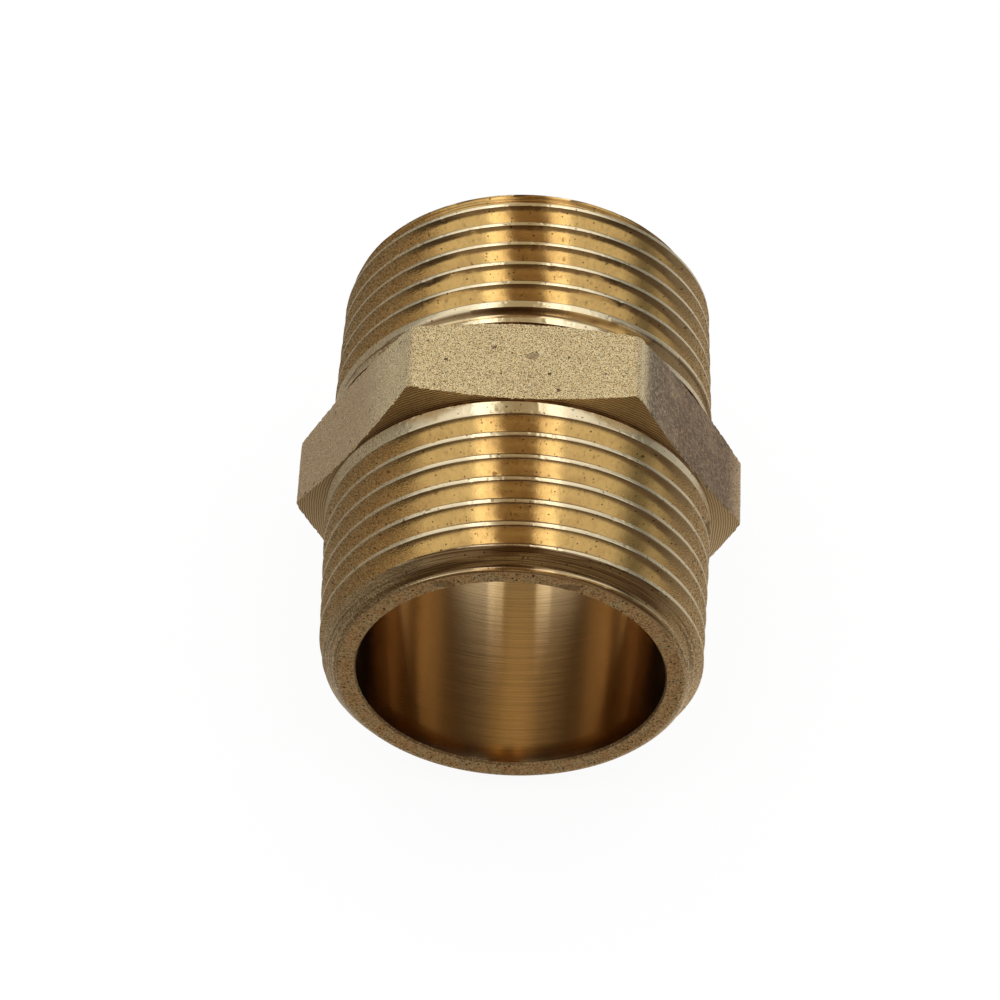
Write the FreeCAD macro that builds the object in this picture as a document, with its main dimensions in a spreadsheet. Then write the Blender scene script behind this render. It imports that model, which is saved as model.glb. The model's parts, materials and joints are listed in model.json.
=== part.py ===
"""Brass hexagon nipple: two taper-threaded male ends with a wrench hexagon between them.

Row frame: +Z up, the waterway along Y, the origin on the waterway's axis at the hexagon's centre.
The nipple lies on one flat of its hexagon, and its front end points along -Y.

The real nipple is one brass casting. It is divided here at the two tool marks where the turned ends
meet the hexagon, so that each length keeps its own size, finish and collision shape.
"""
import FreeCAD, Part
import os

import Sketcher
from FreeCAD import Placement, Rotation, Vector

# ---------------------------------------------------------------------------------------------
# Driving dimensions, in millimetres and degrees. Heights are measured along the waterway from
# the hexagon's centre, and radii from the waterway's axis.
# ---------------------------------------------------------------------------------------------
DIMENSIONS = [
    ("half_length", "20.7"),        # height of each end face
    ("bore_radius", "13.15"),       # waterway
    ("pitch", "2.309"),             # 11 threads per inch
    ("thread_depth", "1.479"),      # crest to root, 55 degree form
    ("root_radius", "0.317"),       # rounding at the bottom of the groove
    ("flank_angle", "27.5"),        # half of the thread's included angle
    ("gauge_radius", "16.6245"),    # crest radius at the gauge plane of a 1 inch taper thread
    ("gauge_length", "10.4"),       # gauge plane to end face
    ("taper_slope", "0.03125"),     # radius lost per millimetre of height, 1 in 16 on diameter
    ("chamfer_length", "1.42"),     # 45 degree nose chamfer, start to end face
    ("nose_radius", "0.8"),         # rounding between the chamfer and the end face
    ("thread_end", "6.16"),         # height of the last full-depth groove
    ("fade_length", "1.3"),         # height in which the groove then runs out
    ("fade_rise", "1.8"),           # how far the cutter lifts over that height
    ("cutter_margin", "0.3"),       # how far the cutter's outline stands above the crest
    ("across_flats", "33.8"),
    ("ridge_radius", "0.8"),        # rounding of the hexagon's six ridges
    ("flat_half_width", "4.05"),    # height of the end cone at the middle of a flat
    ("cone_slope", "0.32"),         # height that the end cone loses per millimetre of radius
    ("cone_crown", "0.03"),         # how far the end cone bulges from a straight cone
    ("joint_plane", "4.25"),        # height where a turned end begins
    ("relief_radius", "16.6"),      # narrow relief between the end cone and the collar
    ("collar_start", "4.38"),       # height of the collar's edge
    ("front_start_angle", "18.3"),  # turn about the waterway that places each thread's start
    ("rear_start_angle", "7.2"),
]

QUARTER_TURN = 90
TURN = 360
SIDES = 6
THREAD_TURNS = 7
SAME_POINT = 1e-6  # mm, two points closer than this are one
LEAST_CUT = 1      # mm3, a feature that removes less than this has missed the solid

doc = FreeCAD.newDocument("HexNipple")

# ---------------------------------------------------------------------------------------------
# Lengths that follow from the driving dimensions, as expressions of the sheet's aliases
# ---------------------------------------------------------------------------------------------
CHAMFER_START = "(sizes.half_length - sizes.chamfer_length)"
ROUNDING_TANGENT = "(sizes.nose_radius * tan(22.5))"  # the nose rounding turns through 45 degrees
ROUNDING_RISE = "(sizes.nose_radius * (1 - cos(22.5)))"
APEX_DEPTH = "(sizes.thread_depth + sizes.root_radius / sin(sizes.flank_angle) - sizes.root_radius)"
CUTTER_HALF_WIDTH = f"(({APEX_DEPTH} + sizes.cutter_margin) * tan(sizes.flank_angle))"
ROOT_HALF_WIDTH = "(sizes.root_radius * cos(sizes.flank_angle))"
HEXAGON_RADIUS = "(sizes.across_flats / 2 / cos(30))"


def crest_radius(height):
    """The crest cone's radius at a height: it falls towards the end face."""
    above_gauge = f"(sizes.half_length - sizes.gauge_length - {height})"
    return f"(sizes.gauge_radius + {above_gauge} * sizes.taper_slope)"


def cone_height(radius):
    """The height of the hexagon's end cone at a radius."""
    return f"(sizes.flat_half_width - ({radius} - sizes.across_flats / 2) * sizes.cone_slope)"


# ---------------------------------------------------------------------------------------------
# Helpers
# ---------------------------------------------------------------------------------------------
def make_sheet():
    """The spreadsheet of driving dimensions, each with its alias."""
    sheet = doc.addObject("Spreadsheet::Sheet", "sizes")
    for row, (alias, value) in enumerate(DIMENSIONS, start=1):
        sheet.set(f"A{row}", alias)
        sheet.set(f"B{row}", value)
        sheet.setAlias(f"B{row}", alias)
    doc.recompute()
    return sheet


def value_of(expression):
    """The number that an expression of the sheet's aliases gives."""
    return float(sizes.evalExpression(expression))


def origin_feature(body, role):
    """One of the body's own origin planes or axes."""
    for feature in body.Origin.OriginFeatures:
        if feature.Role == role:
            return feature
    raise ValueError(f"{body.Label} has no {role}")


def new_body(name):
    body = doc.addObject("PartDesign::Body", name)
    body.Label = name
    return body


def new_sketch(body, name, plane):
    sketch = body.newObject("Sketcher::SketchObject", name)
    sketch.AttachmentSupport = [(origin_feature(body, plane), "")]
    sketch.MapMode = "FlatFace"
    return sketch


def bind(sketch, constraint, expression):
    """Add a constraint to the sketch and tie its value to an expression."""
    index = sketch.addConstraint(constraint)
    sketch.setExpression(f"Constraints[{index}]", expression)


def add_centred_circle(sketch, radius, construction=False):
    """A circle about the sketch's origin, with its radius tied to an expression."""
    circle = Part.Circle(Vector(0, 0, 0), Vector(0, 0, 1), value_of(radius))
    index = sketch.addGeometry(circle, construction)
    sketch.addConstraint(Sketcher.Constraint("Coincident", index, 3, -1, 1))
    bind(sketch, Sketcher.Constraint("Radius", index, value_of(radius)), radius)
    return index


def add_outline(sketch, corners, arcs=None):
    """A closed outline through corners, each a pair of expressions for radius and height.

    arcs maps the number of the corner where an arc starts to the arc's radius and to its middle,
    as expressions. Every other edge is straight.
    """
    arcs = arcs or {}
    points = [Vector(value_of(radius), value_of(height), 0) for radius, height in corners]
    ends = []
    for number, start in enumerate(points):
        end = points[(number + 1) % len(points)]
        shape = Part.LineSegment(start, end)
        if number in arcs:
            _, (radius, height) = arcs[number]
            shape = Part.Arc(start, Vector(value_of(radius), value_of(height), 0), end)
        edge = sketch.addGeometry(shape, False)
        # a sketch keeps its arcs anticlockwise, so an arc's first point may be its far end
        forward = sketch.getPoint(edge, 1).distanceToPoint(start) < SAME_POINT
        ends.append((edge, 1, 2) if forward else (edge, 2, 1))
    for number, (edge, start, _) in enumerate(ends):
        before, _, before_end = ends[number - 1]
        sketch.addConstraint(Sketcher.Constraint("Coincident", before, before_end, edge, start))
        for kind, expression in zip(("DistanceX", "DistanceY"), corners[number]):
            value = value_of(expression)
            bind(sketch, Sketcher.Constraint(kind, -1, 1, edge, start, value), expression)
        if number in arcs:
            radius, _ = arcs[number]
            bind(sketch, Sketcher.Constraint("Radius", edge, value_of(radius)), radius)


# ---------------------------------------------------------------------------------------------
# Hexagon: a length of bored hexagonal bar with a shallow, slightly crowned cone turned on both ends
# ---------------------------------------------------------------------------------------------
def draw_hexagon(body):
    """The bar's section: a hexagon with two sides level, and the waterway."""
    sketch = new_sketch(body, "hexagon_section", "XY_Plane")
    rim = add_centred_circle(sketch, HEXAGON_RADIUS, construction=True)
    first = Vector(value_of(HEXAGON_RADIUS), 0, 0)
    ridges = [Rotation(Vector(0, 0, 1), TURN / SIDES * k).multVec(first) for k in range(SIDES)]
    sides = []
    for k in range(SIDES):
        sides.append(sketch.addGeometry(Part.LineSegment(ridges[k - 1], ridges[k]), False))
    for k, side in enumerate(sides):
        sketch.addConstraint(Sketcher.Constraint("Coincident", sides[k - 1], 2, side, 1))
        sketch.addConstraint(Sketcher.Constraint("PointOnObject", side, 1, rim))
    for side in sides[1:]:
        sketch.addConstraint(Sketcher.Constraint("Equal", sides[0], side))
    sketch.addConstraint(Sketcher.Constraint("Horizontal", sides[2]))
    add_centred_circle(sketch, "sizes.bore_radius")
    return sketch


def ridge_names(shape):
    """The names of the edges that run along the bar at its six ridges."""
    names = []
    for number, edge in enumerate(shape.Edges, start=1):
        ends = [vertex.Point for vertex in edge.Vertexes]
        along = len(ends) == 2 and abs(ends[0].z - ends[1].z) > SAME_POINT
        if along and Vector(ends[0].x, ends[0].y, 0).Length > value_of("sizes.across_flats / 2"):
            names.append(f"Edge{number}")
    return names


def make_hexagon():
    body = new_body("hexagon")
    bar = body.newObject("PartDesign::Pad", "hexagon_bar")
    bar.Profile = draw_hexagon(body)
    bar.Midplane = True
    bar.setExpression("Length", "sizes.joint_plane * 2")
    doc.recompute()

    ridges = body.newObject("PartDesign::Fillet", "hexagon_ridges")
    ridges.Base = (bar, ridge_names(bar.Shape))
    ridges.setExpression("Radius", "sizes.ridge_radius")
    doc.recompute()

    # the cone starts at the narrow relief and leaves the bar beyond the ridges
    beyond = f"({HEXAGON_RADIUS} + sizes.ridge_radius)"
    middle = f"(({beyond} + sizes.relief_radius) / 2)"
    chord = f"(({beyond} - sizes.relief_radius) / cos(atan(sizes.cone_slope)))"
    crown_radius = f"({chord} ^ 2 / 8 / sizes.cone_crown + sizes.cone_crown / 2)"
    crown = (
        f"({middle} + sizes.cone_crown * sin(atan(sizes.cone_slope)))",
        f"({cone_height(middle)} + sizes.cone_crown * cos(atan(sizes.cone_slope)))",
    )
    cut = new_sketch(body, "end_cone_section", "XZ_Plane")
    add_outline(cut, [
        ("sizes.relief_radius", "(sizes.joint_plane + sizes.cutter_margin)"),
        ("sizes.relief_radius", cone_height("sizes.relief_radius")),
        (beyond, cone_height(beyond)),
        (beyond, "(sizes.joint_plane + sizes.cutter_margin)"),
    ], {1: (crown_radius, crown)})
    cone = body.newObject("PartDesign::Groove", "end_cone")
    cone.Profile = cut
    cone.ReferenceAxis = (origin_feature(body, "Z_Axis"), [""])
    cone.Angle = TURN
    doc.recompute()

    both = body.newObject("PartDesign::Mirrored", "both_end_cones")
    both.Originals = [cone]
    both.MirrorPlane = (origin_feature(body, "XY_Plane"), [""])
    body.Tip = both
    doc.recompute()
    report_cut("ridge rounding", bar, ridges)
    report_cut("front end cone", ridges, cone)
    report_cut("rear end cone", cone, both)
    return body


# ---------------------------------------------------------------------------------------------
# Threaded end: collar, taper thread, nose chamfer and end face, bored through
# ---------------------------------------------------------------------------------------------
def draw_blank(body):
    """Half section of the end before it is threaded, from the joint to the end face."""
    foot = f"({crest_radius(CHAMFER_START)} - sizes.chamfer_length)"
    chamfer_end = (
        f"({foot} + {ROUNDING_TANGENT} / sqrt(2))",
        f"(sizes.half_length - {ROUNDING_TANGENT} / sqrt(2))",
    )
    face_edge = (f"({foot} - {ROUNDING_TANGENT})", "sizes.half_length")
    sketch = new_sketch(body, f"{body.Label}_section", "XZ_Plane")
    corners = [
        ("sizes.bore_radius", "sizes.joint_plane"),
        ("sizes.relief_radius", "sizes.joint_plane"),
        ("sizes.relief_radius", "sizes.collar_start"),
        (crest_radius("sizes.collar_start"), "sizes.collar_start"),
        (crest_radius(CHAMFER_START), CHAMFER_START),
        chamfer_end,
        face_edge,
        ("sizes.bore_radius", "sizes.half_length"),
    ]
    middle = (
        f"({foot} - {ROUNDING_TANGENT} + sizes.nose_radius * sin(22.5))",
        f"(sizes.half_length - {ROUNDING_RISE})",
    )
    add_outline(sketch, corners, {corners.index(chamfer_end): ("sizes.nose_radius", middle)})
    return sketch


def add_groove(sketch, height):
    """Outline of the thread's groove at a height: straight flanks, a rounded root, a margin on top."""
    crest = crest_radius(height)
    apex = f"({crest} - {APEX_DEPTH})"
    top = f"({crest} + sizes.cutter_margin)"
    root = f"({apex} + {ROOT_HALF_WIDTH} / tan(sizes.flank_angle))"
    bottom = f"({crest} - sizes.thread_depth)"
    corners = [
        (top, f"({height} + {CUTTER_HALF_WIDTH})"),
        (root, f"({height} + {ROOT_HALF_WIDTH})"),
        (root, f"({height} - {ROOT_HALF_WIDTH})"),
        (top, f"({height} - {CUTTER_HALF_WIDTH})"),
    ]
    add_outline(sketch, corners, {1: ("sizes.root_radius", (bottom, height))})


def cut_turn(body, name, height):
    """Cut one right-hand turn of the groove, from a height towards the end face."""
    outline = new_sketch(body, f"{name}_outline", "XZ_Plane")
    add_groove(outline, height)
    turn = body.newObject("PartDesign::SubtractiveHelix", name)
    turn.Profile = outline
    turn.ReferenceAxis = (origin_feature(body, "Z_Axis"), [""])
    turn.Mode = "pitch-height-angle"
    turn.setExpression("Pitch", "sizes.pitch")
    turn.setExpression("Height", "sizes.pitch")
    turn.setExpression("Angle", "-atan(sizes.taper_slope)")
    return turn


def make_threaded_end(name):
    body = new_body(name)
    blank = body.newObject("PartDesign::Revolution", f"{name}_blank")
    blank.Profile = draw_blank(body)
    blank.ReferenceAxis = (origin_feature(body, "Z_Axis"), [""])
    blank.Angle = TURN
    doc.recompute()

    before = blank
    for number in range(THREAD_TURNS):
        height = f"(sizes.thread_end + {number} * sizes.pitch)"
        turn = cut_turn(body, f"{name}_turn_{number + 1}", height)
        doc.recompute()
        report_cut(turn.Label, before, turn)
        before = turn

    # the same groove runs on the other way and lifts out of the collar
    run_out = cut_turn(body, f"{name}_run_out", "sizes.thread_end")
    run_out.Reversed = True
    run_out.setExpression("Height", "sizes.fade_length")
    run_out.setExpression("Angle", "atan(sizes.fade_rise / sizes.fade_length)")
    doc.recompute()
    report_cut(run_out.Label, before, run_out)
    return body


# ---------------------------------------------------------------------------------------------
# Checks, placing and writing
# ---------------------------------------------------------------------------------------------
def report_cut(name, before, after):
    """Print how much a cut removed, and stop if it removed nothing."""
    removed = before.Shape.Volume - after.Shape.Volume
    print(f"{name}: removed {removed:.2f} mm3")
    if removed < LEAST_CUT:
        raise ValueError(f"{name} cut nothing")


def check_document():
    doc.recompute()
    for item in doc.Objects:
        if "Invalid" in item.State or "Error" in item.State:
            raise ValueError(f"{item.Label} failed: {item.State}")


def write_step(body):
    shape = body.Shape
    if shape.isNull() or not shape.isValid() or len(shape.Solids) != 1:
        raise ValueError(f"{body.Label} isn't one valid solid")
    shape.exportStep(f"parts/{body.Label}.step")
    print(f"{body.Label}: {shape.Volume:.1f} mm3")


def place(body, side, start_angle):
    """Turn a body about its own axis, then lay that axis along Y: side 1 faces -Y and -1 faces +Y."""
    about_axis = Rotation(Vector(0, 0, 1), start_angle)
    laid_down = Rotation(Vector(1, 0, 0), side * QUARTER_TURN)
    body.Placement = Placement(Vector(0, 0, 0), laid_down.multiply(about_axis))


sizes = make_sheet()
hexagon = make_hexagon()
front_end = make_threaded_end("front_threaded_end")
rear_end = make_threaded_end("rear_threaded_end")
place(hexagon, 1, 0)
place(front_end, 1, value_of("sizes.front_start_angle"))
place(rear_end, -1, value_of("sizes.rear_start_angle"))
check_document()
os.makedirs("parts", exist_ok=True)
for part in (hexagon, front_end, rear_end):
    write_step(part)
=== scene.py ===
"""Looks of a brass hex nipple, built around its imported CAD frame.

Row frame: the waterway lies along Y, the front end points to -Y, and +Z is up.
Lengths are in metres and angles in radians. An angle about the waterway is counted from +Z towards +X.
The height of a point on either end is its distance from the hexagon's centre along the waterway.
"""
import json
import math

import bpy
import numpy as np
from mathutils import Matrix, Vector


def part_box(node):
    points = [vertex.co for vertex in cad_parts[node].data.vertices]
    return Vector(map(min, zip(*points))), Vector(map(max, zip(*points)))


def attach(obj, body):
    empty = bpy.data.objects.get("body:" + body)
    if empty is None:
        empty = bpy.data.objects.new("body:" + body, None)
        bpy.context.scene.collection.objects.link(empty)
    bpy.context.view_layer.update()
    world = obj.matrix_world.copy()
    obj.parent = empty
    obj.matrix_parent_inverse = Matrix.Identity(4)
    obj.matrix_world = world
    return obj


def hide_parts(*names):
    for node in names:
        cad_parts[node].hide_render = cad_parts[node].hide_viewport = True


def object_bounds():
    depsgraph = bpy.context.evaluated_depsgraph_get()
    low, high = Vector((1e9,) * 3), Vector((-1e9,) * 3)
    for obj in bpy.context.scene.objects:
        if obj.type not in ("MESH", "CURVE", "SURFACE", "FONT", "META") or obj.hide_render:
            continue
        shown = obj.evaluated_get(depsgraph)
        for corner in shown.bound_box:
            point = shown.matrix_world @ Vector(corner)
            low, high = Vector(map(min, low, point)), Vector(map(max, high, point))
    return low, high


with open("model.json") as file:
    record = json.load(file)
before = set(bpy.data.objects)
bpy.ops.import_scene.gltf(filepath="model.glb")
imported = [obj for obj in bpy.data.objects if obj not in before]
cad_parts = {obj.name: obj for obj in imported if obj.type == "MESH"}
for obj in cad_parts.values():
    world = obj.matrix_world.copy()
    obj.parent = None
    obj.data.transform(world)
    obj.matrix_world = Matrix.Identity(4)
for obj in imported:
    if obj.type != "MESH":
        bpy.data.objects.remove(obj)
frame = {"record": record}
cad_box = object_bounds()

MM = 0.001
TURN = 2 * math.pi
FRONT, REAR = -1, 1

# ---------------------------------------------------------------------------------------------
# Sizes read from the frame
# ---------------------------------------------------------------------------------------------
MOUNTS = {mount["name"]: mount for mount in frame["record"]["mounts"]}
HALF_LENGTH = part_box("rear_threaded_end")[1].y
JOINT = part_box("hexagon")[1].y
FLAT_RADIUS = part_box("hexagon")[1].z
FLOOR_HEIGHT = cad_box[0][2]
BORE_RADIUS = MOUNTS["waterway"]["dims"]["r_mm"] * MM
GAUGE_RADIUS = MOUNTS["front_male_thread"]["dims"]["r_mm"] * MM
GAUGE_HEIGHT = -MOUNTS["front_male_thread"]["pos_m"][1]

# ---------------------------------------------------------------------------------------------
# Driving sizes of the turned shapes
# ---------------------------------------------------------------------------------------------
PITCH = 25.4 * MM / 11
TAPER_SLOPE = 1 / 32
THREAD_DEPTH = 1.479 * MM
FLANK_ANGLE = math.radians(27.5)
ROOT_RADIUS = 0.317 * MM
CHAMFER_LENGTH = 1.42 * MM
NOSE_RADIUS = 0.8 * MM
THREAD_END = 6.16 * MM       # height of the last full-depth groove
FADE_LENGTH = 1.3 * MM       # height in which the groove then runs out
FADE_RISE = 1.8 * MM         # how far it lifts over that height
TOP_GROOVE = {FRONT: 6.62 * MM, REAR: 5.537 * MM}  # height of a groove's centre on the top meridian
COLLAR_START = 4.38 * MM
RELIEF_RADIUS = 16.6 * MM
FLAT_HALF_WIDTH = 4.05 * MM  # height of the hexagon's end cone at the middle of a flat
CONE_SLOPE = 0.32            # height that the end cone loses with radius
RIDGE_RADIUS = 0.8 * MM

APEX_DEPTH = THREAD_DEPTH + ROOT_RADIUS / math.sin(FLANK_ANGLE) - ROOT_RADIUS
ROOT_HALF_WIDTH = ROOT_RADIUS * math.cos(FLANK_ANGLE)
CHAMFER_START = HALF_LENGTH - CHAMFER_LENGTH
NOSE_TANGENT = NOSE_RADIUS * math.tan(TURN / 16)


# ---------------------------------------------------------------------------------------------
# Seeded noise on numpy arrays
# ---------------------------------------------------------------------------------------------
# odd constants of a common 64-bit hash
AXIS_FACTORS = (0x9E3779B97F4A7C15, 0xC2B2AE3D27D4EB4F, 0x165667B19E3779F9)
MIX_FACTOR = 0xBF58476D1CE4E5B9
MIX_SHIFTS = (30, 27, 31)
SEED_FACTOR = 7919
KEPT_BITS = 24


def lattice_values(cells, seed):
    """A repeatable value from -1 to 1 for each row of whole numbers."""
    mixed = np.zeros(cells.shape[:-1], np.uint64)
    for axis, factor in enumerate(AXIS_FACTORS):
        mixed = mixed ^ (cells[..., axis].astype(np.int64).astype(np.uint64) * np.uint64(factor))
    mixed = mixed + np.uint64(seed * SEED_FACTOR + 1)
    for shift in MIX_SHIFTS:
        mixed = (mixed ^ (mixed >> np.uint64(shift))) * np.uint64(MIX_FACTOR)
    kept = (mixed >> np.uint64(64 - KEPT_BITS)).astype(float)
    return kept / 2 ** (KEPT_BITS - 1) - 1


def noise(points, size, seed):
    """Smooth noise from -1 to 1 with features of the given size."""
    scaled = points / size
    low = np.floor(scaled)
    part = scaled - low
    part = part * part * (3 - 2 * part)
    total = np.zeros(points.shape[:-1])
    for corner in np.ndindex(2, 2, 2):
        weight = np.ones(points.shape[:-1])
        for axis, step in enumerate(corner):
            weight = weight * (part[..., axis] if step else 1 - part[..., axis])
        total += weight * lattice_values(low + np.array(corner), seed)
    return total


# ---------------------------------------------------------------------------------------------
# Meshes from lattices of points
# ---------------------------------------------------------------------------------------------
WELD_DISTANCE = 1e-4 * MM
SHARP_ANGLE = math.radians(40)


def ring_points(angle, radius, y):
    """Points about the waterway from arrays of angle, radius and Y."""
    angle, radius, y = np.broadcast_arrays(angle, radius, y)
    return np.stack((radius * np.sin(angle), y, radius * np.cos(angle)), axis=-1)


def sheet_faces(rows, columns, first, lead=0):
    """Quads of a lattice that closes on itself, whose last column meets the first one lead rows on."""
    row = np.arange(rows - 1)[:, None]
    column = np.arange(columns)[None, :]
    over = column == columns - 1
    beside = np.where(over, 0, column + 1)
    row_beside = row + np.where(over, lead, 0)
    here = first + row * columns + column
    above = here + columns
    next_here = first + row_beside * columns + beside
    next_above = next_here + columns
    quads = np.stack(np.broadcast_arrays(here, next_here, next_above, above), axis=-1).reshape(-1, 4)
    inside = (row_beside + 1 < rows) & (row_beside >= 0) & np.ones_like(column, bool)
    return quads[inside.reshape(-1)]


def weld(points, faces, marks):
    """Join points that coincide and drop the faces that this flattens."""
    keys = np.round(points / WELD_DISTANCE).astype(np.int64)
    _, kept, joined = np.unique(keys, axis=0, return_index=True, return_inverse=True)
    joined = joined.reshape(-1)
    faces = joined[faces]
    clean = []
    marks_kept = []
    for face, mark in zip(faces.tolist(), marks.tolist()):
        corners = [corner for k, corner in enumerate(face) if corner != face[k - 1]]
        if len(corners) > 2 and len(set(corners)) == len(corners):
            clean.append(corners)
            marks_kept.append(mark)
    return points[kept], clean, marks_kept, kept


class Skin:
    """A closed skin that grows band by band, each with a finish and a shade for every point.

    A finish is the number of a material slot. A shade is stored on the mesh, for that material to read.
    """

    def __init__(self, columns):
        self.columns = columns
        self.points = []
        self.faces = []
        self.marks = []
        self.shades = []
        self.count = 0

    def band(self, points, finish, shade=0.0, lead=0, flip=False):
        rows = points.shape[0]
        faces = sheet_faces(rows, self.columns, self.count, lead)
        if flip:
            faces = faces[:, ::-1]
        self.points.append(points.reshape(-1, 3))
        self.faces.append(faces)
        self.marks.append(np.full(len(faces), finish))
        self.shades.append(np.broadcast_to(shade, points.shape[:-1]).reshape(-1))
        self.count += rows * self.columns

    def build(self, name, materials):
        points = np.concatenate(self.points)
        points, faces, marks, kept = weld(points, np.concatenate(self.faces), np.concatenate(self.marks))
        mesh = bpy.data.meshes.new(name)
        mesh.from_pydata(points.tolist(), [], faces)
        mesh.polygons.foreach_set("material_index", np.array(marks, np.int32))
        mesh.polygons.foreach_set("use_smooth", np.ones(len(faces), bool))
        shade = mesh.attributes.new("shade", "FLOAT", "POINT")
        shade.data.foreach_set("value", np.concatenate(self.shades)[kept].astype(np.float32))
        for material in materials:
            mesh.materials.append(material)
        mesh.validate()
        mesh.set_sharp_from_angle(angle=SHARP_ANGLE)
        piece = bpy.data.objects.new(name, mesh)
        bpy.context.scene.collection.objects.link(piece)
        return piece


# ---------------------------------------------------------------------------------------------
# Threaded ends
# ---------------------------------------------------------------------------------------------
TURNED, FACED, BORED, SUNKEN = range(4)  # material slots of a threaded end
END_COLUMNS = 720
# distances of the rows of points from a groove's centre: two for the root, one on the flank, and three
# about the land's edge
ROWS_ASIDE = [offset * MM for offset in (0.17, 0.29, 0.62, 0.925, 0.9625, 1.02)]
ROWS = np.array([-PITCH / 2, *(-offset for offset in reversed(ROWS_ASIDE)), 0, *ROWS_ASIDE])
FIRST_TURN, LAST_TURN = -2, 7
NOSE_ZONE = 19.2 * MM
NOSE_STEP = 0.06 * MM
EDGE_BREAK = 0.15 * MM       # the sharp edge taken off the bore's mouth, and how far across
EDGE_BREAK_LENGTH = 1.5 * EDGE_BREAK
FACE_ROWS, BORE_ROWS, JOINT_ROWS = 6, 9, 3
CREST_FADE = 0.03 * MM       # depth below the crest where a land's finish has given way to the flank's
# each kind of wear on the crests: its depth or height, the size of its features, and the noise level
# past which it shows
WEAR, WEAR_SIZE = 0.002 * MM, 1.1 * MM
NICK, NICK_SIZE, NICK_LEVEL = 0.06 * MM, 0.35 * MM, -0.5
CURL, CURL_SIZE, CURL_LEVEL = 0.05 * MM, 0.22 * MM, 0.45


def crest_radius(height):
    return GAUGE_RADIUS + (GAUGE_HEIGHT - height) * TAPER_SLOPE


FACE_EDGE = crest_radius(CHAMFER_START) - CHAMFER_LENGTH - NOSE_TANGENT


def nose_radius_at(height):
    """The radius that the nose chamfer and its rounding allow at a height."""
    chamfer = crest_radius(CHAMFER_START) - (height - CHAMFER_START)
    above = np.clip(height - (HALF_LENGTH - NOSE_RADIUS), 0, NOSE_RADIUS)
    rounding = FACE_EDGE + np.sqrt(NOSE_RADIUS**2 - above**2)
    rounded = height > HALF_LENGTH - NOSE_TANGENT / math.sqrt(2)
    return np.where(rounded, rounding, chamfer)


def groove_depth(offset):
    """How deep the groove is below the crest, at a distance from its centre."""
    flank = APEX_DEPTH - offset / math.tan(FLANK_ANGLE)
    inside = np.minimum(offset, ROOT_HALF_WIDTH)
    root = THREAD_DEPTH - ROOT_RADIUS + np.sqrt(ROOT_RADIUS**2 - inside**2)
    return np.where(offset < ROOT_HALF_WIDTH, root, flank)


def thread_radius(side, angle, height):
    """The turned and threaded surface's radius."""
    radius = np.minimum(crest_radius(height), nose_radius_at(height))
    first = TOP_GROOVE[side] + side * PITCH * angle / TURN
    nearest = np.round((height - first) / PITCH)
    for step in (-1, 0, 1):
        centre = first + (nearest + step) * PITCH
        lift = np.maximum(THREAD_END - centre, 0) * FADE_RISE / FADE_LENGTH
        cut = crest_radius(centre) + lift - groove_depth(np.abs(height - centre))
        cut = np.where(centre < THREAD_END - FADE_LENGTH, np.inf, cut)
        radius = np.minimum(radius, cut)
    return radius


def crest_share(radius, height):
    """1 on the crest lands and the collar, and 0 in the grooves and on the chamfer."""
    return np.clip(1 - (crest_radius(height) - radius) / CREST_FADE, 0, 1)


def burrs(side, angle, radius, height):
    """How far the worn crests and the collar stand above or below their true radius."""
    points = ring_points(angle, radius, side * height)
    wear = noise(points, WEAR_SIZE, seed=11) * WEAR
    nicks = np.minimum(noise(points, NICK_SIZE, seed=12) - NICK_LEVEL, 0) * NICK
    curls = np.maximum(noise(points, CURL_SIZE, seed=13) - CURL_LEVEL, 0) * CURL
    return wear + nicks + curls


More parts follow.
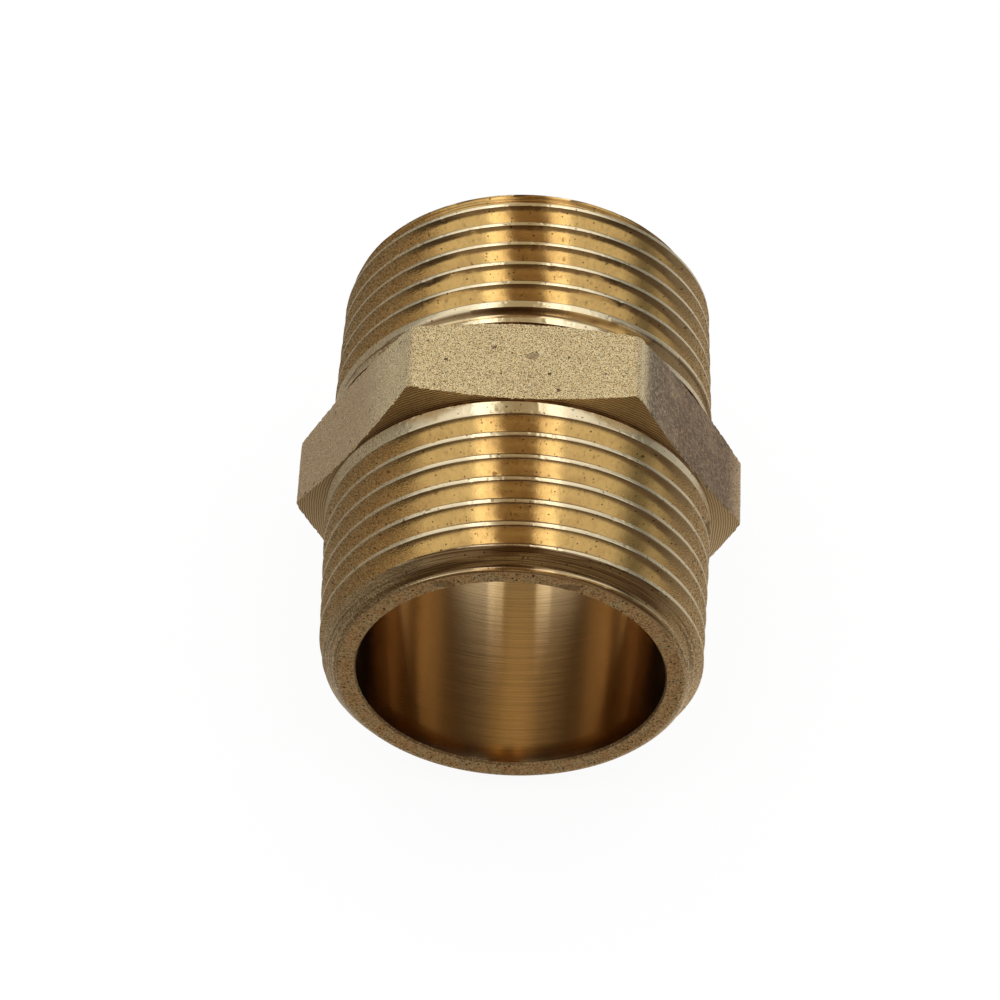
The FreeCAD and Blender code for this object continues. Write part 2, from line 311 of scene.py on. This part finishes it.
def make_end(name, side, materials):
    """One threaded end, from the collar over thread, nose and end face, and back through the bore."""
    angle = np.arange(END_COLUMNS) * TURN / END_COLUMNS
    skin = Skin(END_COLUMNS)
    flip = side == REAR

    def band(radius, height, finish, shade=0.0, lead=0):
        skin.band(ring_points(angle, radius, side * height), finish, shade, lead, flip)

    def profile(corners, finish):
        """Straight bands through pairs of radius and height."""
        radii = np.array([corner[0] for corner in corners])[:, None]
        heights = np.array([corner[1] for corner in corners])[:, None]
        band(radii, heights, finish)

    # threads: rows follow the groove, and stop where they meet the collar or the nose zone
    turns = np.arange(FIRST_TURN, LAST_TURN + 1)
    offsets = (turns[:, None] * PITCH + ROWS[None, :]).reshape(-1)
    height = TOP_GROOVE[side] + offsets[:, None] + side * PITCH * angle[None, :] / TURN
    height = np.clip(height, COLLAR_START, NOSE_ZONE)
    radius = thread_radius(side, angle, height)
    land = crest_share(radius, height)
    band(radius + burrs(side, angle, radius, height) * land, height, TURNED, land, side * len(ROWS))

    # nose: level rows through the chamfer, its rounding and the groove that crosses them
    rows = int(round((HALF_LENGTH - NOSE_ZONE) / NOSE_STEP))
    share = np.linspace(0, 1, rows + 1)
    height = NOSE_ZONE + (HALF_LENGTH - NOSE_ZONE) * np.sin(share * TURN / 4)
    height = np.broadcast_to(height[:, None], (rows + 1, END_COLUMNS))
    radius = thread_radius(side, angle, height)
    land = crest_share(radius, height)
    band(radius + burrs(side, angle, radius, height) * land, height, TURNED, land)

    # end face, edge break, bore, joint face, relief and the collar's edge
    share = np.linspace(0, 1, FACE_ROWS)[:, None]
    mouth = BORE_RADIUS + EDGE_BREAK
    bore_top = HALF_LENGTH - EDGE_BREAK_LENGTH
    collar = crest_radius(COLLAR_START)
    band(radius[-1] + (mouth - radius[-1]) * share, HALF_LENGTH, FACED)
    profile([(mouth, HALF_LENGTH), (BORE_RADIUS, bore_top)], TURNED)
    profile([(BORE_RADIUS, level) for level in np.linspace(bore_top, JOINT, BORE_ROWS)], BORED)
    profile([(reach, JOINT) for reach in np.linspace(BORE_RADIUS, RELIEF_RADIUS, JOINT_ROWS)], SUNKEN)
    profile([(RELIEF_RADIUS, JOINT), (RELIEF_RADIUS, COLLAR_START), (collar, COLLAR_START)], SUNKEN)
    return skin.build(name, materials)


# ---------------------------------------------------------------------------------------------
# Hexagon
# ---------------------------------------------------------------------------------------------
CAST, CONED = range(2)       # its first material slots, before BORED and SUNKEN
HEX_COLUMNS = 960
HEX_ROWS = 66
CONE_RINGS = 24
HEX_BORE_ROWS = 5
# layers of the cast skin: the size of their features, their mean depth and their seed
CAST_LAYERS = ((3.0 * MM, 0.012 * MM, 21), (0.42 * MM, 0.008 * MM, 22), (0.24 * MM, 0.009 * MM, 23))
# pits and chips: their depth, the size of their features, and the noise level past which they show
PIT, PIT_SIZE, PIT_LEVEL = 0.10 * MM, 0.5 * MM, 0.62
CHIP, CHIP_SIZE, CHIP_LEVEL = 0.13 * MM, 0.28 * MM, -0.1
CHIP_ZONE = 0.07             # share of the half width in which the cones' edges are chipped


def hexagon_outline(columns):
    """Angle and radius of evenly spaced points round the hexagon, with its ridges rounded."""
    side = 2 * FLAT_RADIUS / math.sqrt(3)
    tangent = RIDGE_RADIUS * math.tan(TURN / 12)
    straight = side - 2 * tangent
    arc = RIDGE_RADIUS * TURN / 6
    along = (np.arange(columns) + 0.5) / columns * 6 * (straight + arc)
    number, along = np.divmod(along, straight + arc)
    on_flat = along < straight
    x = np.where(on_flat, along - straight / 2, 0)
    z = np.full(columns, FLAT_RADIUS)
    turned = (along - straight) / RIDGE_RADIUS
    x = np.where(on_flat, x, straight / 2 + RIDGE_RADIUS * np.sin(turned))
    z = np.where(on_flat, z, FLAT_RADIUS - RIDGE_RADIUS + RIDGE_RADIUS * np.cos(turned))
    angle = np.arctan2(x, z) + number * TURN / 6
    return angle, np.hypot(x, z)


def cone_height(radius):
    return FLAT_HALF_WIDTH - (radius - FLAT_RADIUS) * CONE_SLOPE


def cast_grain(points):
    """How far the cast skin lies under its true surface: waviness, grain and pits."""
    skin = sum((noise(points, size, seed) + 1) * depth for size, depth, seed in CAST_LAYERS)
    pits = np.maximum(noise(points, PIT_SIZE, seed=24) - PIT_LEVEL, 0) * PIT
    return skin + pits


def make_hexagon(name, materials):
    """The wrench hexagon with its end cones, relief steps, joint faces and bore."""
    angle, radius = hexagon_outline(HEX_COLUMNS)
    skin = Skin(HEX_COLUMNS)

    # cast skin, which is chipped where the end cones cut it
    share = np.linspace(-1, 1, HEX_ROWS)[:, None]
    sides = ring_points(angle, radius, cone_height(radius) * share)
    edge = np.clip((np.abs(share) - 1 + CHIP_ZONE) / CHIP_ZONE, 0, 1)
    chips = np.maximum(noise(sides, CHIP_SIZE, seed=25) - CHIP_LEVEL, 0) * CHIP * edge
    rough_radius = radius - cast_grain(sides) - chips
    top = cone_height(np.where(share < 0, rough_radius[0], rough_radius[-1]))
    skin.band(ring_points(angle, rough_radius, top * share), CAST, flip=True)

    # end cones, relief steps and joint faces
    for side in (FRONT, REAR):
        flip = side == REAR
        rim = rough_radius[0 if side == FRONT else -1]
        rings = np.linspace(radius.max(), RELIEF_RADIUS, CONE_RINGS)[:, None]
        rings = np.minimum(rings, rim)
        skin.band(ring_points(angle, rings, side * cone_height(rings)), CONED, flip=flip)
        step = np.array([[cone_height(RELIEF_RADIUS)], [JOINT]])
        skin.band(ring_points(angle, RELIEF_RADIUS, side * step), SUNKEN, flip=flip)
        joint = np.linspace(RELIEF_RADIUS, BORE_RADIUS, JOINT_ROWS)[:, None]
        skin.band(ring_points(angle, joint, side * JOINT), SUNKEN, flip=flip)
    bore = np.linspace(JOINT, -JOINT, HEX_BORE_ROWS)[:, None]
    skin.band(ring_points(angle, BORE_RADIUS, bore), BORED, flip=True)
    return skin.build(name, materials)


# ---------------------------------------------------------------------------------------------
# Node graphs
# ---------------------------------------------------------------------------------------------
class Graph:
    """Short ways to add nodes and link them. An input is a socket, a number or a tuple."""

    def __init__(self, tree):
        self.tree = tree
        tree.nodes.clear()

    def node(self, kind, inputs=None, **settings):
        node = self.tree.nodes.new(kind)
        for name, value in settings.items():
            setattr(node, name, value)
        for name, value in (inputs or {}).items():
            if isinstance(value, bpy.types.NodeSocket):
                self.tree.links.new(value, node.inputs[name])
            else:
                node.inputs[name].default_value = value
        return node

    def math(self, operation, *values):
        inputs = dict(enumerate(values))
        return self.node("ShaderNodeMath", inputs, operation=operation).outputs[0]

    def vector(self, operation, inputs, output=0):
        return self.node("ShaderNodeVectorMath", inputs, operation=operation).outputs[output]

    def ramp(self, value, stops):
        """Colours along a value from 0 to 1, from pairs of position and colour."""
        ramp = self.node("ShaderNodeValToRGB", {0: value})
        ramp.color_ramp.interpolation = "EASE"
        elements = ramp.color_ramp.elements
        while len(elements) < len(stops):
            elements.new(0.5)
        for element, (position, colour) in zip(elements, stops):
            element.position = position
            element.color = colour
        return ramp.outputs["Color"]


def grey(level):
    return (level, level, level, 1)


# ---------------------------------------------------------------------------------------------
# Materials
# ---------------------------------------------------------------------------------------------
# colours
BRASS = (0.91, 0.73, 0.43, 1)
CAST_BRASS = (1.0, 0.73, 0.35, 1)
CONE_BRASS = (0.97, 0.76, 0.43, 1)
BORE_BRASS = (0.66, 0.47, 0.245, 1)
# the colour of the painted shade on the bore's sides
PAINTED_BORE_SHADE = (0.30, 0.16, 0.06, 1)
OCHRE = (0.95, 0.64, 0.31, 1)
BURNISHED = (0.95, 0.80, 0.52, 1)
SPARKLE = (1.0, 0.86, 0.53, 1)
STAINED = (0.60, 0.42, 0.25, 1)
OLIVE = (0.42, 0.31, 0.15, 1)
MAUVE = (0.24, 0.155, 0.08, 1)
PORE = (0.26, 0.18, 0.08, 1)
PITTED = (0.12, 0.06, 0.025, 1)
DULL = (0.30, 0.17, 0.08, 1)
# the colour of the painted shade on the flats below the top one
PAINTED_FLAT_SHADE = (0.42, 0.21, 0.08, 1)

# surface detail, in millimetres
GRAIN = 0.16                 # grain of stippled and faced brass
CAST_GRAIN = 0.13
RING_SPACING = 0.2           # of the turning rings on the cones
FEED = 0.3                   # that the boring tool moves in one turn
FEED_SLOPE = 0.048           # height of its marks against that
LINE_DRIFT = 0.12            # how much a lathe line changes on its way round the waterway
NICK_PLACE = (6.0, -20.35, 14.05)
NICK_REACH = (0.25, 0.3, 0.3)
FACE_STAINS = ((-5.8, -20.7, 12.6), (4.7, -20.7, 12.9))
FACE_STAIN_REACH = (1.1, 1.0, 0.5)
FLAT_STAIN = (0.7, 0.6, 16.9)
FLAT_STAIN_REACH = (0.62, 0.5, 1.0)

# zones of the object, each as the two places between which it comes in
STIPPLE_AND_PAINTED_SIDE_LIGHT = (13.0, 7.5)       # Z, on the threads, below which they turn rougher and grainier and take a painted warm light
LEAN = 0.2                   # drop of that zone with each millimetre to the right
NOSE = (NOSE_ZONE / MM, NOSE_ZONE / MM + 0.2)  # distance from the middle along the waterway
BORE_SIDES = (3.0, 8.5)      # distance to the left or right, over which a painted shade comes in on the bore
RIDGES = (19.25, 19.34)      # radius, over which the painted highlight along the ridges comes in
RIGHT_FLATS = (10.0, 11.0)   # X
UPPER_HALF = (0.0, 3.0)      # Z
BELOW_TOP_FLAT = (15.0, 9.0)  # Z, below which the hexagon's flats get a painted shade

# noise levels between which the stippled and faced grain, or the cast one, turns dark or bright
DARK_GRAIN = (0.5, 0.4)
BRIGHT_GRAIN = (0.54, 0.62)
DARK_CAST_GRAIN = (0.46, 0.36)
BRIGHT_CAST_GRAIN = (0.48, 0.56)

# share of a turn from the direction round the waterway, which is smooth, to the rough one along it
ROUGH_ALONG = 0.25


class Finish(Graph):
    """A brass finish built up in layers of colour, roughness and relief, with lengths in millimetres."""

    def __init__(self, name, colour, roughness):
        material = bpy.data.materials.new(name)
        material.use_nodes = True
        super().__init__(material.node_tree)
        self.material = material
        place = self.node("ShaderNodeTexCoord").outputs["Object"]
        self.place = self.vector("SCALE", {0: place, "Scale": 1 / MM})
        self.x, self.y, self.z = self.node("ShaderNodeSeparateXYZ", {0: self.place}).outputs
        across = self.math("POWER", self.x, 2.0)
        self.radius = self.math("SQRT", self.math("MULTIPLY_ADD", self.z, self.z, across))
        self.colour = colour
        self.roughness = roughness
        self.relief = 0.0

    def noise(self, size, detail=2.0, vector=None):
        inputs = {"Vector": vector or self.place, "Scale": 1 / size, "Detail": detail}
        return self.node("ShaderNodeTexNoise", inputs).outputs[0]

    def lathe_lines(self, size, detail=3.0):
        """Streaks that run round the waterway, whichever way the turned surface faces."""
        along = self.math("MULTIPLY", self.math("ADD", self.y, self.radius), 1 / size)
        slow_x = self.math("MULTIPLY", self.x, LINE_DRIFT)
        slow_z = self.math("MULTIPLY", self.z, LINE_DRIFT)
        vector = self.node("ShaderNodeCombineXYZ", {0: slow_x, 1: along, 2: slow_z}).outputs[0]
        return self.noise(1.0, detail, vector)

    def window(self, value, low, high):
        """0 below low, 1 above high and smooth between. low may be the larger one."""
        inputs = {"Value": value, "From Min": low, "From Max": high}
        return self.node("ShaderNodeMapRange", inputs, interpolation_type="SMOOTHSTEP").outputs[0]

    def patches(self, size, low, high, detail=2.0):
        """Noise patches of this size, which come in between two noise levels."""
        return self.window(self.noise(size, detail), low, high)

    def pits(self, spacing, size, share):
        """Scattered small pits of uneven outline, in this share of the cells."""
        bend = self.node("ShaderNodeTexNoise", {"Vector": self.place, "Scale": 1.5 / size}).outputs[1]
        bend = self.vector("SCALE", {0: bend, "Scale": size})
        bent = self.vector("ADD", {0: self.place, 1: bend})
        cells = self.node("ShaderNodeTexVoronoi", {"Vector": bent, "Scale": 1 / spacing})
        chance = self.node("ShaderNodeSeparateXYZ", {0: cells.outputs["Color"]}).outputs[0]
        width = self.math("MULTIPLY", self.window(chance, 1 - share, 1.0), 0.5 * size / spacing)
        depth = self.math("SUBTRACT", width, cells.outputs["Distance"])
        return self.window(depth, 0.0, 0.1 * size / spacing)

    def blot(self, centre, size, edge=0.35):
        """One stain round a point, with an uneven outline. size is its reach along x, y and z."""
        offset = self.vector("SUBTRACT", {0: self.place, 1: centre})
        scaled = self.vector("DIVIDE", {0: offset, 1: size})
        reach = self.vector("LENGTH", {0: scaled}, "Value")
        uneven = self.math("MULTIPLY_ADD", self.noise(0.5, detail=3.0), edge, reach)
        return self.window(uneven, 1.0 + edge / 2, 0.75 + edge / 2)

    def times(self, *shares):
        """The product of shares, of which all but the first may be numbers."""
        product = shares[0]
        for share in shares[1:]:
            product = self.math("MULTIPLY", product, share)
        return product

    def tint(self, share, colour):
        mix = self.node("ShaderNodeMix", {0: share, 6: self.colour, 7: colour}, data_type="RGBA")
        self.colour = mix.outputs[2]

    def roughen(self, share, amount):
        self.roughness = self.math("MULTIPLY_ADD", share, amount, self.roughness)

    def raise_by(self, share, height):
        self.relief = self.math("MULTIPLY_ADD", share, height, self.relief)

    def finish(self, anisotropic=0.0, metallic=1.0):
        bump = self.node("ShaderNodeBump", {"Height": self.relief, "Distance": MM, "Strength": 1.0})
        inputs = {"Base Color": self.colour, "Roughness": self.roughness, "Normal": bump.outputs[0]}
        shader = self.node("ShaderNodeBsdfPrincipled", inputs)
        shader.inputs["Metallic"].default_value = metallic
        if anisotropic:
            tangent = self.node("ShaderNodeTangent", direction_type="RADIAL", axis="Y")
            self.tree.links.new(tangent.outputs[0], shader.inputs["Tangent"])
            shader.inputs["Anisotropic"].default_value = anisotropic
            shader.inputs["Anisotropic Rotation"].default_value = ROUGH_ALONG
        self.node("ShaderNodeOutputMaterial", {"Surface": shader.outputs[0]})
        return self.material


def turned_finish():
    """Threads and nose: bright flanks, burnished crests, and towards the sides a rough grainy skin with a
    painted warm light.
    """
    finish = Finish("turned_brass", BRASS, roughness=0.12)
    leaning = finish.math("MULTIPLY_ADD", finish.x, LEAN, finish.z)
    # the threads' sides: rougher and grainier, and also given a painted warm light
    stipple_and_painted_side_light = finish.window(leaning, *STIPPLE_AND_PAINTED_SIDE_LIGHT)
    grain = finish.noise(GRAIN, detail=3.0)
    land = finish.node("ShaderNodeAttribute", attribute_name="shade").outputs["Fac"]
    # the crest lands' edges, which get a painted shade
    painted_crest_edge_shade = finish.math("MULTIPLY", land, finish.math("SUBTRACT", 1.0, land))
    nose = finish.window(finish.math("ABSOLUTE", finish.y), *NOSE)
    nose_lines = finish.window(finish.lathe_lines(0.16, detail=1.0), 0.42, 0.6)

    # tarnish, in broad patches and in specks
    finish.tint(finish.times(finish.patches(2.6, 0.45, 0.75), 0.3), STAINED)
    finish.tint(finish.times(finish.patches(0.45, 0.5, 0.7, detail=4.0), 0.22), OLIVE)

    # warm light painted on the sides as colour, the crests' colour, which that painted side light also
    # warms, the nose's colour, and then the grain of the sides
    finish.tint(finish.times(stipple_and_painted_side_light, 0.8), OCHRE)
    finish.tint(land, BURNISHED)
    finish.tint(finish.times(land, stipple_and_painted_side_light, 0.5), OCHRE)
    finish.tint(finish.times(nose, nose_lines, 0.7), DULL)
    finish.tint(finish.times(stipple_and_painted_side_light, finish.window(grain, *DARK_GRAIN), 0.75), OLIVE)
    finish.tint(finish.times(stipple_and_painted_side_light, finish.window(grain, *BRIGHT_GRAIN), 0.9), SPARKLE)

    # painted shade along the crests' edges, then pits, spots and one nick
    finish.tint(finish.times(painted_crest_edge_shade, 3.0), DULL)
    finish.tint(finish.times(finish.pits(0.4, 0.2, 0.75), 0.8), PITTED)
    finish.tint(finish.times(finish.pits(1.8, 0.45, 0.5), 0.8), DULL)
    finish.tint(finish.times(finish.blot(NICK_PLACE, NICK_REACH, edge=0.8), 0.85), DULL)

    finish.roughen(stipple_and_painted_side_light, 0.24)
    finish.roughen(finish.noise(0.9), 0.05)
    finish.roughen(land, 0.06)
    finish.raise_by(finish.lathe_lines(0.07), 0.0012)
    finish.raise_by(finish.times(nose, nose_lines), 0.006)
    finish.raise_by(finish.times(grain, stipple_and_painted_side_light), 0.12)
    finish.raise_by(grain, 0.002)
    return finish.finish(anisotropic=0.6)


def faced_finish():
    """End faces: matt and beige, with turning rings, many pores, and two oval stains on the front one."""
    finish = Finish("faced_brass", OCHRE, roughness=0.5)
    grain = finish.noise(GRAIN, detail=3.0)
    finish.tint(finish.patches(1.6, 0.4, 0.7), BRASS)
    finish.tint(finish.times(finish.window(grain, *DARK_GRAIN), 0.7), OLIVE)
    finish.tint(finish.times(finish.window(grain, *BRIGHT_GRAIN), 0.8), SPARKLE)
    for centre in FACE_STAINS:
        finish.tint(finish.times(finish.blot(centre, FACE_STAIN_REACH, edge=0.9), 0.5), MAUVE)
    finish.tint(finish.times(finish.pits(0.34, 0.24, 0.8), 0.9), PITTED)
    finish.roughen(grain, 0.15)
    finish.raise_by(finish.lathe_lines(0.12), 0.006)
    finish.raise_by(grain, 0.06)
    return finish.finish()


def bored_finish():
    """Waterway: dull brass with sawtooth feed marks, smooth round it and rough along it, and darkened
    towards its sides by painted shade.
    """
    finish = Finish("bored_brass", BORE_BRASS, roughness=0.14)
    # painted shade: the bore darkens towards its left and right sides
    beside = finish.window(finish.math("ABSOLUTE", finish.x), *BORE_SIDES)
    finish.tint(finish.times(beside, 0.62), PAINTED_BORE_SHADE)
    lines = finish.lathe_lines(0.09)
    feed = finish.math("FRACT", finish.times(finish.y, -1 / FEED))
    finish.tint(finish.times(finish.window(lines, 0.54, 0.38), 0.5), OLIVE)
    finish.tint(finish.times(finish.patches(2.5, 0.5, 0.75), 0.25), STAINED)
    finish.tint(finish.times(finish.pits(2.4, 0.4, 0.3), 0.7), DULL)
    finish.roughen(lines, 0.05)
    finish.raise_by(feed, FEED * FEED_SLOPE)
    finish.raise_by(lines, 0.001)
    return finish.finish(anisotropic=0.9)


def cast_finish():
    """Wrench flats: sparkling cast grain with dark pores, a few stains, and a painted highlight along the
    ridges.

    The upper right flat is browner than the others, and mottled, and the flats below the top one are
    darkened by painted shade.
    """
    finish = Finish("cast_brass", CAST_BRASS, roughness=0.14)
    grain = finish.noise(CAST_GRAIN)
    painted_ridge_highlight = finish.window(finish.radius, *RIDGES)
    right = finish.window(finish.x, *RIGHT_FLATS)
    upper_right = finish.times(right, finish.window(finish.z, *UPPER_HALF))
    mottling = finish.patches(0.35, 0.4, 0.56, detail=4.0)
    # the flats below the top one, which get a painted shade
    painted_shade_below_top_flat = finish.window(finish.z, *BELOW_TOP_FLAT)
    sparkling = finish.math("MULTIPLY_ADD", upper_right, -0.35, 0.95)

    # colour of the flats, with painted shade on those below the top one, and their grain, which sparkles
    # less on the upper right one
    finish.tint(finish.times(painted_shade_below_top_flat, 0.6), OCHRE)
    finish.tint(finish.times(upper_right, 0.9), MAUVE)
    finish.tint(finish.times(finish.window(grain, *DARK_CAST_GRAIN), 0.9), PORE)
    finish.tint(finish.times(finish.window(grain, *BRIGHT_CAST_GRAIN), sparkling), SPARKLE)

    # painted shade on the flats below the top one, the browner and mottled upper right flat, stains and
    # pits
    finish.tint(finish.times(painted_shade_below_top_flat, 0.5), PAINTED_FLAT_SHADE)
    finish.tint(finish.times(upper_right, 0.35), MAUVE)
    finish.tint(finish.times(upper_right, mottling, 0.65), PITTED)
    finish.tint(finish.times(finish.patches(3.5, 0.56, 0.75), 0.3), STAINED)
    finish.tint(finish.times(finish.blot(FLAT_STAIN, FLAT_STAIN_REACH, edge=1.3), 0.6), MAUVE)
    finish.tint(finish.times(finish.pits(0.8, 0.35, 0.5), 0.85), PITTED)

    # painted highlight: the grain along the ridges is lifted to bright brass
    finish.tint(finish.times(painted_ridge_highlight, finish.window(grain, 0.4, 0.5), 0.9), BRASS)
    finish.roughen(grain, 0.24)
    finish.roughen(upper_right, 0.1)
    finish.raise_by(grain, 0.18)
    return finish.finish(metallic=0.85)


def coned_finish():
    """The hexagon's end cones: concentric turning grooves cut through the cast skin."""
    finish = Finish("coned_brass", CONE_BRASS, roughness=0.24)
    uneven = finish.math("MULTIPLY_ADD", finish.noise(1.5), 0.25, finish.radius)
    wave = finish.math("SINE", finish.times(uneven, TURN / RING_SPACING))
    finish.tint(finish.times(finish.window(wave, 0.4, -0.8), 0.7), DULL)
    finish.tint(finish.times(finish.patches(0.3, 0.5, 0.65, detail=3.0), 0.25), STAINED)
    finish.roughen(finish.noise(0.5), 0.1)
    finish.raise_by(wave, 0.008)
    finish.raise_by(finish.lathe_lines(0.08), 0.008)
    return finish.finish()


def relief_painted_shade_finish():
    """The groove beside the hexagon, darkened by painted shade, and the hidden faces where an end meets
    it.
    """
    # painted shade: a dark dull colour stands for the shade in the groove
    finish = Finish("relief_painted_shade", DULL, roughness=0.5)
    finish.tint(finish.patches(0.8, 0.4, 0.7), STAINED)
    finish.roughen(finish.noise(0.5), 0.1)
    finish.raise_by(finish.lathe_lines(0.1), 0.01)
    return finish.finish()


turned = turned_finish()
faced = faced_finish()
bored = bored_finish()
cast = cast_finish()
coned = coned_finish()
relief = relief_painted_shade_finish()

front = make_end("front_thread", FRONT, [turned, faced, bored, relief])
rear = make_end("rear_thread", REAR, [turned, faced, bored, relief])
hexagon = make_hexagon("wrench_hexagon", [cast, coned, bored, relief])
for piece, node, slot in ((front, "front_threaded_end", "turned_brass"),
                          (rear, "rear_threaded_end", "turned_brass"),
                          (hexagon, "hexagon", "cast_brass")):
    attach(piece, "root")
    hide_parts(node)


# ---------------------------------------------------------------------------------------------
# Studio
# ---------------------------------------------------------------------------------------------
# light against the angle round the waterway: degrees from the zenith, to the left if below 0, and the
# level or colour there, for directions beside the object and for directions further behind it
CEILING = (0.225, 0.155, 0.093, 1)
FAR_CEILING = (0.36, 0.30, 0.20, 1)
TENT_NEAR = [(-180, 0.76), (-155, 0.50), (-135, 0.38), (-115, 0.34), (-90, 0.27), (-74, 0.15),
             (-56, 0.70), (-25, 0.75), (-13, CEILING), (13, CEILING), (25, 0.72), (56, 0.67), (74, 0.16),
             (90, 0.42), (113, 0.52), (135, 0.57), (151, 0.74), (180, 0.76)]
TENT_FAR = [(-180, 0.76), (-157, 0.48), (-137, 0.36), (-121, 0.26), (-102, 0.22), (-76, 0.25), (-62, 0.5),
            (-50, 0.95), (-28, 1.0), (-15, FAR_CEILING), (12, FAR_CEILING), (22, 1.0), (38, 1.0),
            (48, 0.7), (60, 0.3), (76, 0.22), (100, 0.33), (115, 0.47), (150, 0.74), (180, 0.76)]
FAR_START, FAR_END = 0.48, 0.62  # Y of the directions between which one gives way to the other
# share of that light against the direction's Y, which is mapped to 0 in front and 1 behind
WARM = (0.18, 0.125, 0.085, 1)
TENT_DEPTH = [(0, (0.30, 0.215, 0.13, 1)), (0.12, WARM), (0.19, (0.38, 0.32, 0.26, 1)),
              (0.35, (0.5, 0.45, 0.4, 1)), (0.55, grey(1)), (1, grey(1))]
# light strips, in metres: how far to the right of the object, and the degrees that each is turned
STRIPS = ((-0.37, 8), (0.31, 3))
STRIP_WIDTH, STRIP_LENGTH = 0.24, 1.7
STRIP_SETBACK, STRIP_HEIGHT = 0.55, 1.0
STRIP_RADIANCE = 0.97
# floor, whose glow makes up for the light that its grey doesn't send back
FLOOR_REACH = 3.0
FLOOR_GREY = (0.08, 0.08, 0.08, 1)
FLOOR_GLOW = 0.92
# camera, with its place in millimetres and its angles in radians
CAMERA_PLACE = (1.957, -235.971, 299.737)
CAMERA_ELEVATION, CAMERA_YAW, CAMERA_ROLL = 0.907587, -0.0154014, 0.0328831
SENSOR_WIDTH = 36
LENS = 4.3536 * SENSOR_WIDTH


def add_floor():
    """A pale floor, which the brass doesn't reflect."""
    mesh = bpy.data.meshes.new("floor")
    corners = [(across * FLOOR_REACH, along * FLOOR_REACH, FLOOR_HEIGHT)
               for across, along in ((-1, -1), (1, -1), (1, 1), (-1, 1))]
    mesh.from_pydata(corners, [], [(0, 1, 2, 3)])
    floor = bpy.data.objects.new("floor", mesh)
    material = bpy.data.materials.new("floor_paper")
    material.use_nodes = True
    shader = material.node_tree.nodes["Principled BSDF"]
    shader.inputs["Base Color"].default_value = FLOOR_GREY
    shader.inputs["Emission Color"].default_value = (1, 1, 1, 1)
    shader.inputs["Emission Strength"].default_value = FLOOR_GLOW
    shader.inputs["Roughness"].default_value = 0.9
    shader.inputs["Specular IOR Level"].default_value = 0
    mesh.materials.append(material)
    bpy.context.scene.collection.objects.link(floor)
    floor.visible_glossy = False


def tent_light(graph, around, tent):
    """The light from one of the tables, whose angles are mapped to a share of a turn from 0 to 1."""
    stops = []
    for degrees, light in tent:
        colour = light if isinstance(light, tuple) else grey(light)
        stops.append((degrees / 360 + 0.5, colour))
    return graph.ramp(around, stops)


def add_world():
    """Plain white surroundings, which the brass reflects as a light tent.

    Round the waterway from the zenith, the tent goes from a dim ceiling through bright walls to a dark
    skirting and a pale table. It is dark in front, where its opening is.
    """
    world = bpy.data.worlds.new("studio")
    world.use_nodes = True
    world.cycles.sampling_method = "NONE"
    bpy.context.scene.world = world
    graph = Graph(world.node_tree)
    direction = graph.node("ShaderNodeTexCoord").outputs["Generated"]
    x, y, z = graph.node("ShaderNodeSeparateXYZ", {0: direction}).outputs
    around = graph.math("MULTIPLY_ADD", graph.math("ARCTAN2", x, z), 1 / TURN, 0.5)
    far = graph.node("ShaderNodeMapRange", {"Value": y, "From Min": FAR_START, "From Max": FAR_END})
    near_light = tent_light(graph, around, TENT_NEAR)
    far_light = tent_light(graph, around, TENT_FAR)
    walls = {0: far.outputs[0], 6: near_light, 7: far_light}
    tent = graph.node("ShaderNodeMix", walls, data_type="RGBA").outputs[2]
    behind = graph.ramp(graph.math("MULTIPLY_ADD", y, 0.5, 0.5), TENT_DEPTH)
    light = graph.vector("MULTIPLY", {0: tent, 1: behind})
    room = graph.node("ShaderNodeBackground", {"Color": light, "Strength": 1.0})
    plain = graph.node("ShaderNodeBackground", {"Color": grey(1), "Strength": 1.0})
    glossy = graph.node("ShaderNodeLightPath").outputs["Is Glossy Ray"]
    mix = graph.node("ShaderNodeMixShader", {0: glossy, 1: plain.outputs[0], 2: room.outputs[0]})
    graph.node("ShaderNodeOutputWorld", {"Surface": mix.outputs[0]})


def add_strip(across, turned_by):
    """One of the two light strips under the tent's ceiling, which run from front to back."""
    light = bpy.data.lights.new("strip", "AREA")
    light.shape = "RECTANGLE"
    light.size = STRIP_WIDTH
    light.size_y = STRIP_LENGTH
    light.energy = STRIP_RADIANCE * math.pi * light.size * light.size_y
    strip = bpy.data.objects.new("strip", light)
    strip.location = (across, STRIP_SETBACK, STRIP_HEIGHT)
    strip.rotation_euler.z = math.radians(turned_by)
    strip.visible_camera = False
    bpy.context.scene.collection.objects.link(strip)


def add_camera():
    """A long lens that looks down at the front end, with a slight roll."""
    level = math.cos(CAMERA_ELEVATION)
    rise = -math.sin(CAMERA_ELEVATION)
    ahead = Vector((math.sin(CAMERA_YAW) * level, math.cos(CAMERA_YAW) * level, rise))
    beside = ahead.cross(Vector((0, 0, 1))).normalized()
    above = beside.cross(ahead)
    right = beside * math.cos(CAMERA_ROLL) + above * math.sin(CAMERA_ROLL)
    up = above * math.cos(CAMERA_ROLL) - beside * math.sin(CAMERA_ROLL)
    data = bpy.data.cameras.new("camera")
    data.sensor_width = SENSOR_WIDTH
    data.lens = LENS
    data.clip_start = 0.01
    camera = bpy.data.objects.new("camera", data)
    rotation = Matrix((right, up, -ahead)).transposed()
    camera.matrix_world = Matrix.Translation(Vector(CAMERA_PLACE) * MM) @ rotation.to_4x4()
    bpy.context.scene.collection.objects.link(camera)
    bpy.context.scene.camera = camera


add_floor()
add_world()
for across, turned_by in STRIPS:
    add_strip(across, turned_by)
add_camera()
bpy.context.scene.view_settings.view_transform = "Standard"
